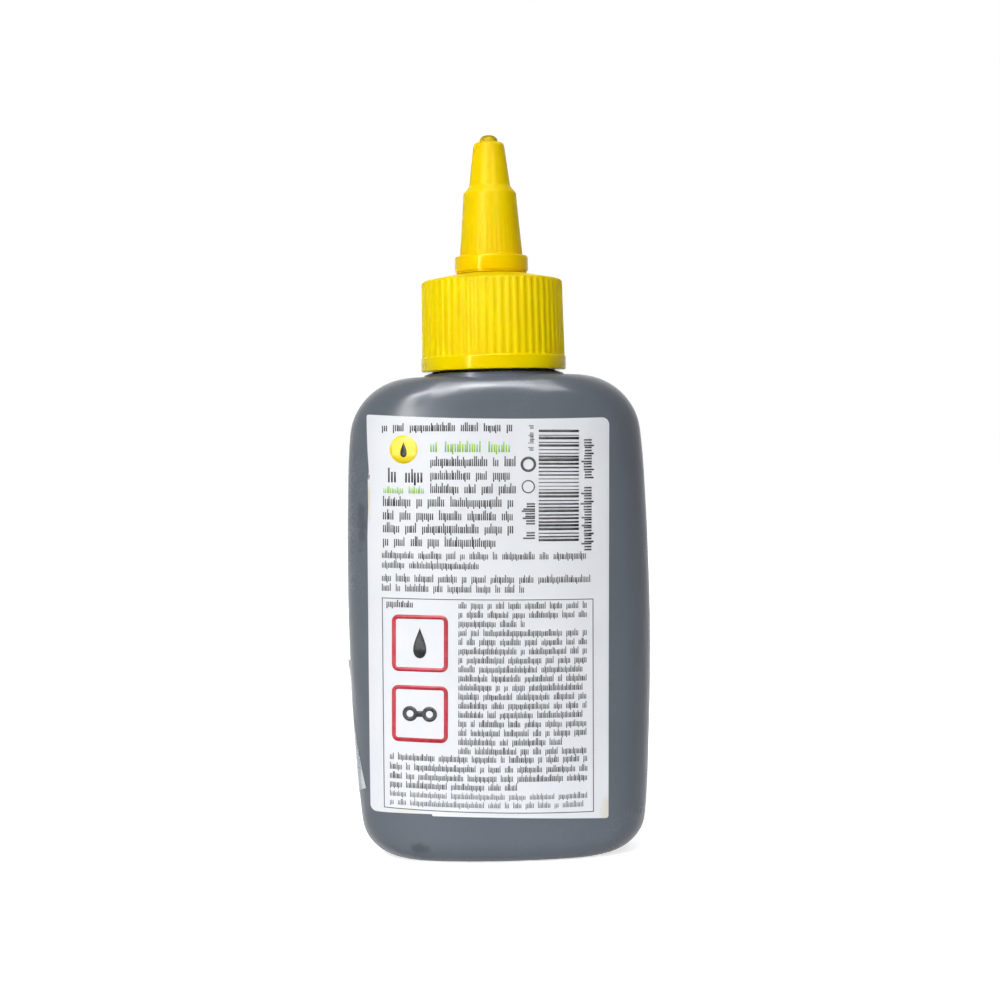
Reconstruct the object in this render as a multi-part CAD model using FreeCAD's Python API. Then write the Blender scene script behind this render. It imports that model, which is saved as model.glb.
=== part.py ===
import FreeCAD, Part
import math
import os

from FreeCAD import Vector

# Drip bottle for bicycle chain lubricant, in millimetres. It stands on z = 0 with +Z up,
# its width runs along X, and its label faces -Y.

# Blown body
body_width = 60.3
body_depth = 31.0
body_height = 94.8
belly_height = 49.6
side_bow_radius = 497.0
face_radius = 54.2
shoulder_radius_side = 12.6
shoulder_radius_face = 4.0
foot_radius_side = 8.0
foot_radius_face = 4.5
wall = 1.0
floor_thickness = 2.2
standing_ring = 3.0
push_up = 1.0
pinch_width = 0.7
pinch_height = 0.35

# Threaded neck
pedestal_diameter = 27.8
pedestal_height = 0.9
land_slope = 1.4
land_drop = 0.45
neck_diameter = 21.6
neck_bore = 17.6
neck_height = 15.9
neck_chamfer = 0.3
thread_pitch = 3.175
thread_turns = 1.5
thread_depth = 1.15
thread_foot = 2.0
thread_crest = 0.9
thread_below_lip = 2.6
thread_clearance = 0.25

# Paper label, and the scrap of clear tape on the left flank
label_left_margin = 4.4
label_right_margin = 9.2
label_foot_margin = 9.8
label_top_margin = 8.0
label_corner = 1.2
label_tilt = 1.4
label_thickness = 0.12
glue_line = 0.05
tape_width = 13.0
tape_length = 26.0
tape_tilt = 15.0
tape_foot_margin = 12.0
tape_label_gap = 0.45
tape_reach = 14.0
tape_thickness = 0.1

# Gasket under the cap's deck
gasket_thickness = 0.95
gasket_inner = 15.8
gasket_rim_gap = 0.6
gasket_play = 0.03

# Screw cap
cap_gap = 0.2
cap_rim_diameter = 28.0
cap_foot_diameter = 28.4
cap_rib_count = 56
cap_rib_height = 0.42
cap_rib_share = 0.62
bead_proud = 0.22
bead_height = 2.8
deck_thickness = 1.2
deck_rise = 1.3
rim_round = 0.7

# Hollow stem of the cap, and the pin on top of it
stem_diameter = 8.2
stem_top_diameter = 6.6
stem_bore = 5.0
stem_height = 14.0
collar_diameter = 9.3
collar_height = 1.3
collar_clearance = 0.15
spoke_count = 3
spoke_width = 1.1
spoke_height = 1.6
hub_diameter = 2.8
pin_diameter = 3.7
pin_head = 2.6
pin_proud = 1.4

# Drip spout, which slides up the stem to open
spout_travel = 3.5
spout_gap = 0.15
spout_clearance = 0.25
flange_diameter = 14.6
flange_height = 3.45
flange_foot_inset = 0.3
flange_foot_height = 0.4
barrel_foot_diameter = 12.4
barrel_top_diameter = 10.46
barrel_height = 12.5
grip_rib_count = 40
grip_rib_height = 0.1
grip_rib_share = 0.7
grip_length = 8.5
step_height = 1.4
tip_foot_diameter = 8.2
tip_top_diameter = 6.0
tip_height = 8.7
spout_wall = 1.1
lip_height = 2.1
orifice_clearance = 0.1
orifice_land = 1.7

# Heights that stack up from the shoulder
neck_foot = body_height + pedestal_height
neck_lip = neck_foot + neck_height
gasket_foot = neck_lip + gasket_play
deck_under = gasket_foot + gasket_thickness + gasket_play
cap_foot = neck_foot + cap_gap
bead_top = cap_foot + bead_height
cap_rim = deck_under + deck_thickness
deck_top = cap_rim + deck_rise
spout_foot = deck_top + spout_gap
flange_top = spout_foot + flange_height
barrel_top = flange_top + barrel_height
tip_foot = barrel_top + step_height
spout_top = tip_foot + tip_height
pin_top = spout_top + pin_proud
collar_foot = spout_foot + lip_height + spout_travel + collar_clearance

# The label's size and middle
label_width = body_width - label_left_margin - label_right_margin
label_height = body_height - label_foot_margin - label_top_margin
label_middle_x = (label_left_margin - label_right_margin) / 2
label_middle_z = label_foot_margin + label_height / 2

# Radii that two pieces share
neck_crest_radius = neck_diameter / 2 + thread_depth
cap_bore_radius = neck_crest_radius + thread_clearance
cap_crest_radius = neck_diameter / 2 + thread_clearance
stem_radius = stem_diameter / 2
orifice_radius = pin_diameter / 2 + orifice_clearance


def turned(corners):
    """Solid of revolution about Z from (radius, height) corners, rounded where a third value is given."""
    count = len(corners)
    runs = []
    for i in range(count):
        here = Vector(corners[i][0], 0, corners[i][1])
        if len(corners[i]) < 3:
            runs.append((here, None, here))
            continue
        before = Vector(corners[i - 1][0], 0, corners[i - 1][1]) - here
        after = Vector(corners[(i + 1) % count][0], 0, corners[(i + 1) % count][1]) - here
        before.normalize()
        after.normalize()
        half = before.getAngle(after) / 2
        reach = corners[i][2] / math.tan(half)
        inward = before + after
        inward.normalize()
        middle = here + inward * (corners[i][2] / math.sin(half) - corners[i][2])
        runs.append((here + before * reach, middle, here + after * reach))
    edges = []
    for i in range(count):
        start, middle, end = runs[i]
        if middle is not None:
            edges.append(Part.Arc(start, middle, end).toShape())
        following = runs[(i + 1) % count][0]
        if end.distanceToPoint(following) > 1e-6:
            edges.append(Part.makeLine(end, following))
    return Part.Face(Part.Wire(edges)).revolve(Vector(0, 0, 0), Vector(0, 0, 1), 360)


def ring(outer, inner, foot, height):
    """Plain tube about Z, from its radii."""
    return turned([(inner, foot), (outer, foot), (outer, foot + height), (inner, foot + height)])


def helix_ridge(foot_radius, crest_radius, start_height):
    """Right-handed thread ridge, its crest towards crest_radius."""
    embed = 0.2 if crest_radius > foot_radius else -0.2
    foot, crest = thread_foot / 2, thread_crest / 2
    points = [
        Vector(foot_radius - embed, 0, -foot),
        Vector(crest_radius, 0, -crest),
        Vector(crest_radius, 0, crest),
        Vector(foot_radius - embed, 0, foot),
    ]
    profile = Part.makePolygon(points + points[:1])
    path = Part.Wire(Part.makeHelix(thread_pitch, thread_pitch * thread_turns, foot_radius).Edges)
    ridge = path.makePipeShell([profile], True, True)
    ridge.translate(Vector(0, 0, start_height))
    return ridge


def side_reach(z, inset):
    """Half width of the body at a height: foot round, bowed side, shoulder round."""
    bow_centre = body_width / 2 - side_bow_radius
    for radius, level, below in (
        (foot_radius_side, foot_radius_side, True),
        (shoulder_radius_side, body_height - shoulder_radius_side, False),
    ):
        rise = level - belly_height
        run = math.sqrt((side_bow_radius - radius) ** 2 - rise ** 2)
        meets = level + (radius - inset) * rise / (side_bow_radius - radius)
        if (z < meets) == below:
            return bow_centre + run + math.sqrt(max((radius - inset) ** 2 - (z - level) ** 2, 0))
    return bow_centre + math.sqrt((side_bow_radius - inset) ** 2 - (z - belly_height) ** 2)


def face_reach(z, inset):
    """Half depth of the body at a height: foot round, upright face, shoulder round."""
    radius, level = foot_radius_face, foot_radius_face
    if z > belly_height:
        radius, level = shoulder_radius_face, body_height - shoulder_radius_face
    over = abs(z - level) if abs(z - belly_height) > abs(level - belly_height) else 0
    return body_depth / 2 - radius + math.sqrt(max((radius - inset) ** 2 - over ** 2, 0))


def flank_radius(half_width, half_depth, face):
    """Radius of the flank arcs that meet two face arcs smoothly."""
    return (face ** 2 - half_width ** 2 - (face - half_depth) ** 2) / (2 * (face - half_width))


def half_oval(half_width, half_depth, face, z):
    """Points of the front half of an oval of tangent arcs, from the left flank to the right one."""
    flank = flank_radius(half_width, half_depth, face)
    meet = math.atan2(half_width - flank, face - half_depth)
    left = []
    for share in (0, 0.13, 0.3, 0.5, 0.7, 0.87, 1):
        turn = share * (math.pi / 2 - meet)
        left.append(Vector(flank - half_width - flank * math.cos(turn), -flank * math.sin(turn), z))
    for share in (0.82, 0.6, 0.3):
        turn = share * meet
        left.append(Vector(-face * math.sin(turn), face - half_depth - face * math.cos(turn), z))
    right = [Vector(-point.x, point.y, z) for point in reversed(left)]
    return left + [Vector(0, -half_depth, z)] + right


def front_at(x, z):
    """Where the body's front lies in Y, at a place across it and a height."""
    half_width = side_reach(z, 0)
    half_depth = face_reach(z, 0)
    flank = flank_radius(half_width, half_depth, face_radius)
    out = abs(x) - half_width + flank
    if out > flank * math.sin(math.atan2(half_width - flank, face_radius - half_depth)):
        return -math.sqrt(flank ** 2 - out ** 2)
    return face_radius - half_depth - math.sqrt(face_radius ** 2 - x ** 2)


def level_edges(shape, z):
    """Edges of a shape that lie flat at a height."""
    flat = [edge for edge in shape.Edges if edge.BoundBox.ZLength < 1e-3]
    return [edge for edge in flat if abs(edge.CenterOfMass.z - z) < 1e-3]


def skinned(outlines):
    """Solid between flat ends, its front skinned through half outlines and its back a mirror of it."""
    skin = Part.BSplineSurface()
    skin.interpolate(outlines)
    front = skin.toShape()
    back = front.mirror(Vector(0, 0, 0), Vector(0, 1, 0))
    ends = []
    for z in (outlines[0][0].z, outlines[-1][0].z):
        ends.append(Part.Face(Part.Wire(level_edges(front, z) + level_edges(back, z))))
    shell = Part.Shell([front, back] + ends)
    shell.sewShape()
    solid = Part.Solid(shell)
    if solid.Volume < 0:
        solid.reverse()
    return solid


def body_form(inset):
    """The body's outer form drawn in by an inset."""
    foot = foot_radius_side
    top = body_height - shoulder_radius_side
    heights = [foot - (foot - inset) * math.cos(math.radians(a)) for a in (0, 18, 36, 54, 72, 90)]
    heights += [foot + (top - foot) * share for share in (0.15, 0.38, 0.62, 0.85, 1)]
    reach = shoulder_radius_side - inset
    heights += [top + reach * math.sin(math.radians(a)) for a in (18, 34, 48, 60, 70, 80, 90)]
    outlines = []
    for z in heights:
        outlines.append(half_oval(side_reach(z, inset), face_reach(z, inset), face_radius - inset, z))
    return skinned(outlines)


def oval(half_width, half_depth, face, z):
    """Closed oval outline of four tangent arcs."""
    flank = flank_radius(half_width, half_depth, face)
    meet = math.atan2(half_width - flank, face - half_depth)
    x = half_width - flank + flank * math.sin(meet)
    y = flank * math.cos(meet)
    corners = [Vector(-x, -y, z), Vector(x, -y, z), Vector(x, y, z), Vector(-x, y, z)]
    middles = [(0, -half_depth), (half_width, 0), (0, half_depth), (-half_width, 0)]
    edges = []
    for i in range(4):
        middle = Vector(middles[i][0], middles[i][1], z)
        edges.append(Part.Arc(corners[i], middle, corners[(i + 1) % 4]).toShape())
    return Part.Wire(edges)


def body_hollow():
    """Inside of the body, one wall in from the outer form and plain between a few heights."""
    foot = foot_radius_side
    shoulder = body_height - shoulder_radius_face
    rise = shoulder_radius_side - shoulder_radius_face
    heights = [floor_thickness, (floor_thickness + foot) / 2, foot, belly_height]
    heights += [shoulder - rise, shoulder - rise * 0.35, shoulder]
    heights += [body_height - wall - (shoulder_radius_face - wall) * share for share in (0.4, 0)]
    outlines = []
    for z in heights:
        outlines.append(oval(side_reach(z, wall), face_reach(z, wall), face_radius - wall, z))
    return Part.makeLoft(outlines, True, True)


def base_recess():
    """Shallow oval push-up under the base, with a pinch-off ridge left along its middle."""
    outlines = []
    for z, drawn in ((-0.1, 0), (push_up, push_up)):
        half_width = side_reach(0, 0) - standing_ring - drawn
        half_depth = face_reach(0, 0) - standing_ring - drawn
        outlines.append(oval(half_width, half_depth, face_radius, z))
    ridge = Part.makeBox(body_width, pinch_width, pinch_height)
    ridge.translate(Vector(-body_width / 2, -pinch_width / 2, push_up - pinch_height))
    return Part.makeLoft(outlines, True, True).cut(ridge)


def make_bottle():
    drop = shoulder_radius_face
    neck = turned([
        (0, body_height - drop),
        (pedestal_diameter / 2, body_height - drop),
        (pedestal_diameter / 2, neck_foot - land_drop),
        (pedestal_diameter / 2 - land_slope, neck_foot),
        (neck_diameter / 2, neck_foot),
        (neck_diameter / 2, neck_lip - neck_chamfer),
        (neck_diameter / 2 - neck_chamfer, neck_lip),
        (0, neck_lip),
    ])
    bore = Part.makeCylinder(neck_bore / 2, neck_height + 3 * drop, Vector(0, 0, body_height - 2 * drop))
    shell = body_form(0).fuse(neck).cut(body_hollow()).cut(bore).cut(base_recess())
    thread_start = neck_lip - thread_below_lip - thread_pitch * thread_turns
    return shell.fuse(helix_ridge(neck_diameter / 2, neck_crest_radius, thread_start)).removeSplitter()


def rounded_sheet(width, height, corner, depth):
    """Upright rounded rectangle in XZ about the origin, thick along -Y."""
    sheet = Part.makeBox(width, depth, height, Vector(-width / 2, -depth, -height / 2))
    upright = [e for e in sheet.Edges if abs(e.Vertexes[0].Y - e.Vertexes[-1].Y) > depth / 2]
    return sheet.makeFillet(corner, upright)


def stuck_on(outline, thickness):
    """The part of an outline's prism that lies on the body, over a thin line of glue."""
    return outline.common(body_form(-glue_line - thickness)).cut(body_form(-glue_line))


def make_label():
    sheet = rounded_sheet(label_width, label_height, label_corner, body_depth)
    sheet.rotate(Vector(0, 0, 0), Vector(0, 1, 0), label_tilt)
    sheet.translate(Vector(label_middle_x, 0, label_middle_z))
    return stuck_on(sheet, label_thickness)


def make_tape():
    """The strip leans back, and its lower front corner stops just short of the label."""
    lean = math.radians(tape_tilt)
    askew = math.radians(label_tilt)
    middle_z = tape_foot_margin + tape_length / 2
    corner_z = middle_z - (tape_length * math.cos(lean) - tape_width * math.sin(lean)) / 2
    label_edge = label_middle_x - label_width / 2 / math.cos(askew)
    label_edge += (corner_z - label_middle_z) * math.tan(askew)
    corner_y = front_at(label_edge, corner_z) + tape_label_gap
    middle_y = corner_y + (tape_width * math.cos(lean) + tape_length * math.sin(lean)) / 2
    strip = Part.makeBox(2 * tape_reach, tape_width, tape_length)
    strip.translate(Vector(-body_width / 2 - tape_reach, -tape_width / 2, -tape_length / 2))
    strip.rotate(Vector(0, 0, 0), Vector(1, 0, 0), -tape_tilt)
    strip.translate(Vector(0, middle_y, middle_z))
    return stuck_on(strip, tape_thickness)


def make_gasket():
    return ring(cap_bore_radius - gasket_rim_gap, gasket_inner / 2, gasket_foot, gasket_thickness)


def ribbed(levels, count, share):
    """Round bar with upright flat-sided ribs, through (height, root radius, tip radius) levels."""
    step = 2 * math.pi / count
    outlines = []
    for z, root, tip in levels:
        points = []
        for i in range(count):
            for radius, turn in ((root, -share), (tip, -share / 2), (tip, share / 2), (root, share)):
                angle = step * (i + turn / 2)
                points.append(Vector(radius * math.cos(angle), radius * math.sin(angle), z))
        outlines.append(Part.makePolygon(points + points[:1]))
    return Part.makeLoft(outlines, True, True)


def cap_shell():
    """Ribbed skirt with its bead and its sloping deck, hollow from below."""
    rim = cap_rim_diameter / 2
    foot = cap_foot_diameter / 2
    bead = turned([
        (cap_bore_radius, cap_foot),
        (foot + bead_proud, cap_foot, 0.3),
        (foot + bead_proud, bead_top, 0.3),
        (cap_bore_radius, bead_top),
    ])
    skirt = ribbed([
        (cap_foot + 0.5, foot - cap_rib_height, foot),
        (cap_rim - rim_round, rim - cap_rib_height, rim),
        (cap_rim - rim_round * 0.3, rim - max(cap_rib_height, rim_round * 0.4), rim - rim_round * 0.3),
        (cap_rim, rim - rim_round, rim - rim_round),
    ], cap_rib_count, cap_rib_share)
    deck = turned([
        (0, deck_under),
        (rim - rim_round - 0.05, deck_under),
        (rim - rim_round - 0.05, cap_rim),
        (flange_diameter / 2, deck_top),
        (0, deck_top),
    ])
    hollow = Part.makeCylinder(cap_bore_radius, deck_under - cap_foot + 1, Vector(0, 0, cap_foot - 1))
    return skirt.fuse([bead, deck]).cut(hollow)


def stem_and_pin():
    """Hollow stem with its retaining collar, and the pin held on spokes across the stem's mouth."""
    stem_top = deck_top + stem_height
    top_radius = stem_top_diameter / 2
    stem = turned([
        (0, deck_top - 0.4),
        (stem_radius, deck_top - 0.4),
        (top_radius, stem_top),
        (0, stem_top),
    ])
    snap = turned([
        (0, collar_foot),
        (collar_diameter / 2, collar_foot),
        (collar_diameter / 2, collar_foot + collar_height * 0.4),
        (top_radius, collar_foot + collar_height),
        (0, collar_foot + collar_height),
    ])
    head_foot = spout_top - pin_head
    pin = turned([
        (0, stem_top - spoke_height),
        (hub_diameter / 2, stem_top - spoke_height),
        (hub_diameter / 2, head_foot - 1),
        (pin_diameter / 2, head_foot),
        (pin_diameter / 2, pin_top, pin_diameter * 0.36),
        (0, pin_top),
    ])
    bore = Part.makeCylinder(stem_bore / 2, 2 * stem_height, Vector(0, 0, deck_under - 1))
    spokes = []
    for i in range(spoke_count):
        spoke = Part.makeBox(stem_bore / 2 + 0.4, spoke_width, spoke_height)
        spoke.translate(Vector(0, -spoke_width / 2, stem_top - spoke_height))
        spoke.rotate(Vector(0, 0, 0), Vector(0, 0, 1), 360 / spoke_count * i)
        spokes.append(spoke)
    return stem.fuse(snap), bore, pin.fuse(spokes)


def make_cap():
    stem, bore, pin = stem_and_pin()
    thread_start = neck_lip - thread_below_lip - thread_pitch * (thread_turns + 0.5)
    thread = helix_ridge(cap_bore_radius, cap_crest_radius, thread_start)
    return cap_shell().fuse(stem).cut(bore).fuse(pin).fuse(thread).removeSplitter()


def make_spout():
    flange = flange_diameter / 2
    foot = barrel_foot_diameter / 2
    top = barrel_top_diameter / 2
    tip = tip_foot_diameter / 2
    lip_radius = stem_radius + spout_clearance
    bore_radius = collar_diameter / 2 + spout_clearance
    outside = turned([
        (0, spout_foot),
        (flange - flange_foot_inset, spout_foot),
        (flange - flange_foot_inset, spout_foot + flange_foot_height),
        (flange, spout_foot + flange_foot_height, 0.15),
        (flange, flange_top, 0.5),
        (foot, flange_top),
        (top, barrel_top, 0.8),
        (tip, tip_foot, 0.3),
        (tip_top_diameter / 2, spout_top, 1.0),
        (0, spout_top),
    ])
    taper = (foot - top) / barrel_height
    grip = ribbed([
        (flange_top - 0.1, foot - 0.1, foot + grip_rib_height),
        (flange_top + grip_length, foot - taper * grip_length - 0.1, foot - taper * grip_length - 0.02),
    ], grip_rib_count, grip_rib_share)
    hollow = turned([
        (0, spout_foot - 1),
        (lip_radius, spout_foot - 1),
        (lip_radius, spout_foot + lip_height),
        (bore_radius, spout_foot + lip_height),
        (bore_radius, collar_foot + collar_height + spout_clearance),
        (top - spout_wall, barrel_top),
        (tip - spout_wall, tip_foot + 1),
        (orifice_radius, spout_top - orifice_land),
        (orifice_radius, spout_top + 1),
        (0, spout_top + 1),
    ])
    return outside.fuse(grip).cut(hollow).removeSplitter()


def write(shape, name):
    solid = shape.Solids[0]
    solid.exportStep("parts/" + name + ".step")


os.makedirs("parts", exist_ok=True)
write(make_bottle(), "bottle")
write(make_label(), "label")
write(make_tape(), "clear_tape")
write(make_gasket(), "gasket")
write(make_cap(), "screw_cap")
write(make_spout(), "drip_spout")
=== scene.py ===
import math
import random

import bmesh
import bpy
from mathutils import Matrix, Vector


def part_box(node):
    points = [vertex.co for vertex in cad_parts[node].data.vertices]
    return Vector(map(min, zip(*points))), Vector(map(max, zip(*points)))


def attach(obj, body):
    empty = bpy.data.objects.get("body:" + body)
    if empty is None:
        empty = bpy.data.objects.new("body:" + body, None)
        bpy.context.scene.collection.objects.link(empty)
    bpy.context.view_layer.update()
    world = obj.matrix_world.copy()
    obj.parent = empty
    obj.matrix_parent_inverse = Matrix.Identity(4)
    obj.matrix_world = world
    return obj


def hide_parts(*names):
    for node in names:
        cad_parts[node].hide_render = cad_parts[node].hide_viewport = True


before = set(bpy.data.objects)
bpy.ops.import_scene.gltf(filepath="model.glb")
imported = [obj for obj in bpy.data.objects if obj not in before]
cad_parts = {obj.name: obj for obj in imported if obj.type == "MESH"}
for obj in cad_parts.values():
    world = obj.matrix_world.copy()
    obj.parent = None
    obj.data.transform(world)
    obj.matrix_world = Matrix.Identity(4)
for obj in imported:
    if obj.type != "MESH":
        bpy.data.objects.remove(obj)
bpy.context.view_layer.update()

scene = bpy.context.scene
scene.view_settings.view_transform = "Standard"
mm = 0.001  # pieces are given in millimetres; stage, lamps and camera in metres
print("frame loaded")


def fill(tree, item, values):
    # a node stands for its first output
    for key, value in values.items():
        if isinstance(value, bpy.types.Node):
            value = value.outputs[0]
        if isinstance(value, bpy.types.NodeSocket):
            tree.links.new(value, item.inputs[key])
        else:
            item.inputs[key].default_value = value


def put(tree, kind, values=None, **settings):
    item = tree.nodes.new(kind)
    for key, value in settings.items():
        setattr(item, key, value)
    fill(tree, item, values or {})
    return item


def startGroup(name, kind, inputs, outputs):
    # inputs: name, kind of socket and, where it has one, the value it starts with
    tree = bpy.data.node_groups.new(name, kind)
    for label, socket, *value in inputs:
        made = tree.interface.new_socket(label, in_out="INPUT", socket_type="NodeSocket" + socket)
        if value:
            made.default_value = value[0]
    for label, socket in outputs:
        tree.interface.new_socket(label, in_out="OUTPUT", socket_type="NodeSocket" + socket)
    return tree, tree.nodes.new("NodeGroupInput").outputs, tree.nodes.new("NodeGroupOutput")


def calc(tree, operation, *terms):
    return put(tree, "ShaderNodeMath", dict(enumerate(terms)), operation=operation).outputs[0]


def vectorCalc(tree, operation, *terms):
    return put(tree, "ShaderNodeVectorMath", dict(enumerate(terms)), operation=operation).outputs[0]


def lengthOf(tree, vector):
    return put(tree, "ShaderNodeVectorMath", {0: vector}, operation="LENGTH").outputs["Value"]


def axes(tree, vector):
    return put(tree, "ShaderNodeSeparateXYZ", {0: vector}).outputs


def vectorOf(tree, x=0.0, y=0.0, z=0.0):
    return put(tree, "ShaderNodeCombineXYZ", {0: x, 1: y, 2: z}).outputs[0]


def ranged(tree, value, start=0.0, end=1.0, low=0.0, high=1.0, easing="LINEAR"):
    item = put(tree, "ShaderNodeMapRange", {"Value": value, "From Min": start, "From Max": end, "To Min": low,
                                            "To Max": high}, interpolation_type=easing)
    return item.outputs["Result"]


def eased(tree, value, start, end):
    return ranged(tree, value, start, end, easing="SMOOTHSTEP")


def spread(tree, value, low, high):
    return ranged(tree, value, low=low, high=high)


def noiseOf(tree, where, scale, detail, roughness=0.5):
    return put(tree, "ShaderNodeTexNoise", {"Vector": where, "Scale": scale, "Detail": detail,
                                            "Roughness": roughness}).outputs["Fac"]


def blendColour(tree, share, under, over):
    # sockets 0, 6 and 7 are the factor and the two colours
    return put(tree, "ShaderNodeMix", {0: share, 6: under, 7: over}, data_type="RGBA").outputs[2]


def srgb(red, green, blue):
    def lin(v):
        v /= 255
        return v / 12.92 if v <= 0.04045 else ((v + 0.055) / 1.055) ** 2.4
    return (lin(red), lin(green), lin(blue), 1)


# surface effects that several finishes share

grainMix = 0.35  # share of the finer noise in the clouds, and of the clouds in the relief


def startShader(name, inputs, outputs):
    return startGroup(name, "ShaderNodeTree", [("Vector", "Vector"), *inputs],
                      [(label, "Float") for label in outputs])


def makeGrain():
    tree, given, out = startShader("mouldGrain", [("Cloud Scale", "Float"), ("Grain Scale", "Float")],
                                   ["Cloud", "Height"])
    cloud = noiseOf(tree, given["Vector"], given["Cloud Scale"], 2.0, 0.45)
    grain = noiseOf(tree, given["Vector"], given["Grain Scale"], 2.0)
    mottled = calc(tree, "MULTIPLY_ADD", calc(tree, "SUBTRACT", grain, 0.5), grainMix, cloud)
    fill(tree, out, {"Cloud": eased(tree, mottled, 0.2, 0.8),
                     "Height": calc(tree, "MULTIPLY_ADD", cloud, grainMix, grain)})
    return tree


def makeSpot():
    tree, given, out = startShader("stainSpot", [
        ("Place", "Vector"), ("Reach", "Vector"), ("Ragged", "Float"), ("Ragged Scale", "Float")], ["Mask"])
    away = vectorCalc(tree, "SUBTRACT", given["Vector"], given["Place"])
    far = lengthOf(tree, vectorCalc(tree, "DIVIDE", away, given["Reach"]))
    noise = noiseOf(tree, given["Vector"], given["Ragged Scale"], 3.0)
    shifted = calc(tree, "MULTIPLY_ADD", calc(tree, "SUBTRACT", noise, 0.5),
                   calc(tree, "MULTIPLY", given["Ragged"], 2.0), far)
    fill(tree, out, {"Mask": eased(tree, shifted, 1.0, 0.3)})
    return tree


def makeSpecks():
    tree, given, out = startShader("dirtSpecks", [("Scale", "Float"), ("Share", "Float"), ("Size", "Float")],
                                   ["Mask"])
    cells = put(tree, "ShaderNodeTexVoronoi", {"Vector": given["Vector"], "Scale": given["Scale"]}).outputs
    dot = ranged(tree, cells["Distance"], given["Size"], 0.0)
    pick = put(tree, "ShaderNodeSeparateColor", {"Color": cells["Color"]})
    chosen = calc(tree, "LESS_THAN", pick, given["Share"])
    fill(tree, out, {"Mask": calc(tree, "MULTIPLY", dot, chosen)})
    return tree


mouldGrain = makeGrain()
stainSpot = makeSpot()
dirtSpecks = makeSpecks()


def startFinish(name):
    finish = bpy.data.materials.new(name)
    finish.use_nodes = True
    tree = finish.node_tree
    tree.nodes.clear()
    skin = tree.nodes.new("ShaderNodeBsdfPrincipled")
    put(tree, "ShaderNodeOutputMaterial", {"Surface": skin})
    where = tree.nodes.new("ShaderNodeTexCoord").outputs["Object"]
    return finish, tree, skin, where


def fillGroup(tree, group, values):
    return put(tree, "ShaderNodeGroup", values, node_tree=group).outputs


def grained(tree, where, cloudScale, grainScale):
    return fillGroup(tree, mouldGrain, {"Vector": where, "Cloud Scale": cloudScale,
                                        "Grain Scale": grainScale})


def stained(tree, where, colour, look):
    # each stain: its tint in the look, place, reach, strength, raggedness and the scale of that
    for tint, place, reach, strength, ragged, scale in look["stains"]:
        spot = fillGroup(tree, stainSpot, {"Vector": where, "Place": [v * mm for v in place],
                                           "Reach": [v * mm for v in reach], "Ragged": ragged,
                                           "Ragged Scale": scale})
        colour = blendColour(tree, calc(tree, "MULTIPLY", spot["Mask"], strength), colour, look[tint])
    return colour


def bumped(tree, skin, height, strength, distance=0.02):
    bump = put(tree, "ShaderNodeBump", {"Height": height, "Strength": strength, "Distance": distance * mm})
    fill(tree, skin, {"Normal": bump})


def dressNode(name, finish):
    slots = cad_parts[name].data.materials
    slots.clear()
    slots.append(finish)


# small mesh tools

def addPiece(name, mesh):
    piece = bpy.data.objects.new(name, mesh)
    scene.collection.objects.link(piece)
    return piece


softEdge = 35  # degrees; sharper edges stay crisp
slack = 0.01  # for points that lie right on a limit


def fromBmesh(name, bm, scale=mm):
    bmesh.ops.scale(bm, vec=(scale, scale, scale), verts=bm.verts)
    mesh = bpy.data.meshes.new(name)
    bm.to_mesh(mesh)
    bm.free()
    shadeSmooth(mesh, softEdge)
    return mesh


def shadeSmooth(mesh, sharpAngle):
    mesh.polygons.foreach_set("use_smooth", [True] * len(mesh.polygons))
    mesh.set_sharp_from_angle(angle=math.radians(sharpAngle))


def settle(piece, step):
    # makes the outcome of one modifier the piece's own mesh
    made = bpy.data.meshes.new_from_object(piece.evaluated_get(bpy.context.evaluated_depsgraph_get()))
    piece.modifiers.remove(step)
    piece.data = made


def runNodes(piece, tree, values):
    step = piece.modifiers.new("build", "NODES")
    step.node_group = tree
    for item in tree.interface.items_tree:
        if item.item_type == "SOCKET" and item.in_out == "INPUT" and item.name in values:
            step[item.identifier] = values[item.name]
    settle(piece, step)


def roundedLine(corners, closed, steps=5):
    # (radius, height, rounding) corners in, points of the rounded line out
    count = len(corners)
    points = []
    for i, corner in enumerate(corners):
        here = Vector(corner[:2])
        if len(corner) < 3 or (not closed and i in (0, count - 1)):
            points.append(here)
            continue
        before = (Vector(corners[i - 1][:2]) - here).normalized()
        after = (Vector(corners[(i + 1) % count][:2]) - here).normalized()
        half = before.angle(after) / 2
        start = here + before * corner[2] / math.tan(half)
        end = here + after * corner[2] / math.tan(half)
        centre = here + (before + after).normalized() * corner[2] / math.sin(half)
        for k in range(steps + 1):
            swing = (start - centre).lerp(end - centre, k / steps).normalized()
            points.append(centre + swing * corner[2])
    return points


def turned(bm, line, columns, closed, ribShare=None):
    # spins a (radius, height) line round Z into bm, poles closed where the radius is nought
    layer = bm.verts.layers.float.get("ribShare") or bm.verts.layers.float.new("ribShare")
    rings = []
    for point in line:
        if point[0] < 1e-6:
            rings.append([bm.verts.new((0, 0, point[1]))])
            continue
        ring = []
        for i in range(columns):
            angle = 2 * math.pi * i / columns
            vert = bm.verts.new((point[0] * math.cos(angle), point[0] * math.sin(angle), point[1]))
            vert[layer] = ribShare(point[0], point[1]) if ribShare else 0
            ring.append(vert)
        rings.append(ring)
    for low, high in zip(rings, rings[1:] + (rings[:1] if closed else [])):
        for i in range(columns):
            j = (i + 1) % columns
            corners = [low[i % len(low)], low[j % len(low)], high[j % len(high)], high[i % len(high)]]
            bm.faces.new(list(dict.fromkeys(corners)))


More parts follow.
